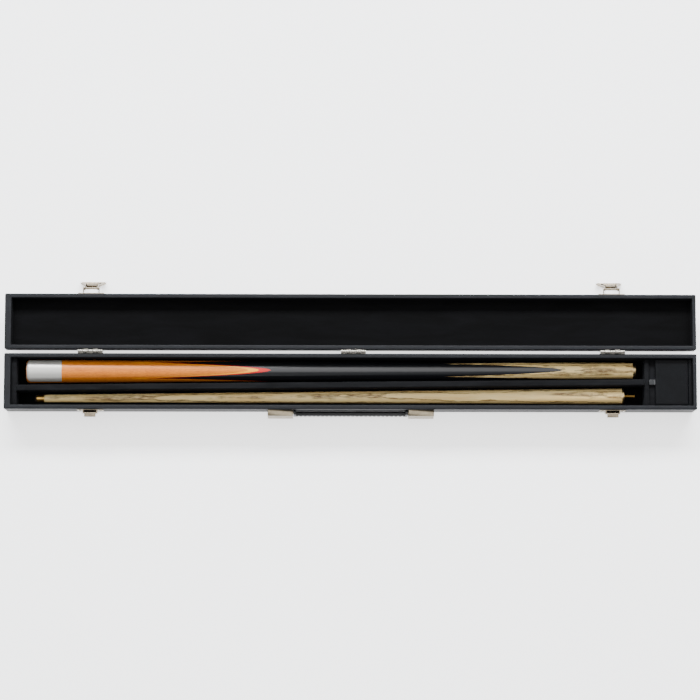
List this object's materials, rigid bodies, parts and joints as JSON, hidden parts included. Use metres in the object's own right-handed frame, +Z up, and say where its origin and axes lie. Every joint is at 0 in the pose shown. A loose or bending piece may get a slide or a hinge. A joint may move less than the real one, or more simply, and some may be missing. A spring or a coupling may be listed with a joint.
{
  "type": "cue case",
  "caption": "Long hinged hard case for a two-piece billiard cue, opened flat, with lined channels, an accessory compartment, toggle latches, a carrying handle and the cue in place.",
  "frame": {"origin": "centre of the base shell's underside", "axes": "+Z up, +X along the case towards the accessory compartment, -Y towards the handle and catches"},
  "size_m": [0.83, 0.1673, 0.0413],
  "materials": {
    "case_leatherette": "grained, satin",
    "lining_velour": "short pile",
    "divider_felt": "felt",
    "flap_leatherette": "smooth, satin",
    "tab_ribbon": "woven",
    "hinge_nickel": "satin nickel",
    "latch_nickel": "polished nickel",
    "bracket_nickel": "satin nickel",
    "grip_plastic": "satin",
    "black_wood": "lacquered",
    "orange_wood": "lacquered",
    "yellow_veneer": "lacquered",
    "red_veneer": "lacquered",
    "ash_wood": "lacquered",
    "joint_ring": "polished",
    "badge_metal": "satin, blank",
    "brass": "polished",
    "tip_leather": "matt"
  },
  "bodies": {
    "base": {"base_floor_board": "case_leatherette", "base_front_board": "case_leatherette", "base_back_board": "case_leatherette", "base_left_end_board": "case_leatherette", "base_right_end_board": "case_leatherette", "base_floor_lining": "lining_velour", "base_wall_lining": "lining_velour", "left_end_block": "divider_felt", "channel_divider": "divider_felt", "compartment_wall": "divider_felt", "compartment_left_ledge": "divider_felt", "compartment_right_ledge": "divider_felt", "flap_fixed_strip": "flap_leatherette", "hinge_base_leaf_left": "hinge_nickel", "hinge_base_leaf_centre": "hinge_nickel", "hinge_base_leaf_right": "hinge_nickel", "hinge_pins": "hinge_nickel", "base_rivets": "latch_nickel", "latch_catch_left": "latch_nickel", "latch_catch_right": "latch_nickel", "handle_bracket_left": "bracket_nickel", "handle_bracket_right": "bracket_nickel"},
    "lid": {"lid_top_panel": "case_leatherette", "lid_front_board": "case_leatherette", "lid_back_board": "case_leatherette", "lid_left_end_board": "case_leatherette", "lid_right_end_board": "case_leatherette", "lid_floor_lining": "lining_velour", "lid_wall_lining": "lining_velour", "hinge_lid_leaf_left": "hinge_nickel", "hinge_lid_leaf_centre": "hinge_nickel", "hinge_lid_leaf_right": "hinge_nickel", "lid_rivets": "latch_nickel", "latch_plate_left": "latch_nickel", "latch_plate_right": "latch_nickel", "latch_plate_pins": "latch_nickel"},
    "latch_link_left": {"latch_link_left": "latch_nickel", "latch_link_pin_left": "latch_nickel"},
    "latch_link_right": {"latch_link_right": "latch_nickel", "latch_link_pin_right": "latch_nickel"},
    "latch_lever_left": {"latch_lever_left": "latch_nickel"},
    "latch_lever_right": {"latch_lever_right": "latch_nickel"},
    "compartment_flap": {"compartment_flap": "flap_leatherette", "ribbon_tab": "tab_ribbon"},
    "handle": {"handle_grip": "grip_plastic", "handle_pivot_pins": "bracket_nickel"},
    "cue_butt": {"butt_handle": "black_wood", "butt_splice": "orange_wood", "butt_veneer_yellow": "yellow_veneer", "butt_veneer_red": "red_veneer", "butt_forearm": "ash_wood", "butt_joint_ring": "joint_ring", "butt_badge": "badge_metal"},
    "cue_shaft": {"shaft_wood": "ash_wood", "shaft_ferrule": "brass", "shaft_tip": "tip_leather", "shaft_collar": "joint_ring", "shaft_screw": "brass"}
  },
  "joints": [
    {"name": "lid_hinge", "type": "hinge", "parent": "base", "child": "lid", "pos_m": [0, 0.036, 0.0392], "axis": [-1, 0, 0], "range_deg": [-180, 0]},
    {"name": "latch_link_left", "type": "hinge", "parent": "lid", "child": "latch_link_left", "pos_m": [-0.312, 0.1123, 0.0334], "axis": [-1, 0, 0], "range_deg": [-155, 0]},
    {"name": "latch_lever_left", "type": "hinge", "parent": "latch_link_left", "child": "latch_lever_left", "pos_m": [-0.312, 0.11928, 0.01844], "axis": [-1, 0, 0], "range_deg": [-1, 75]},
    {"name": "latch_link_right", "type": "hinge", "parent": "lid", "child": "latch_link_right", "pos_m": [0.314, 0.1123, 0.0334], "axis": [-1, 0, 0], "range_deg": [-155, 0]},
    {"name": "latch_lever_right", "type": "hinge", "parent": "latch_link_right", "child": "latch_lever_right", "pos_m": [0.314, 0.11928, 0.01844], "axis": [-1, 0, 0], "range_deg": [-1, 75]},
    {"name": "carry_handle", "type": "hinge", "parent": "base", "child": "handle", "pos_m": [0, -0.037, 0.0295], "axis": [-1, 0, 0], "range_deg": [0, 95]},
    {"name": "flap_hinge", "type": "hinge", "parent": "base", "child": "compartment_flap", "pos_m": [0.4039, 0, 0.0325], "axis": [0, 1, 0], "range_deg": [0, 94]},
    {"name": "butt_lift", "type": "slide", "parent": "base", "child": "cue_butt", "axis": [0, 0, 1], "range_m": [0, 0.1]},
    {"name": "shaft_lift", "type": "slide", "parent": "base", "child": "cue_shaft", "axis": [0, 0, 1], "range_m": [0, 0.1]}
  ]
}
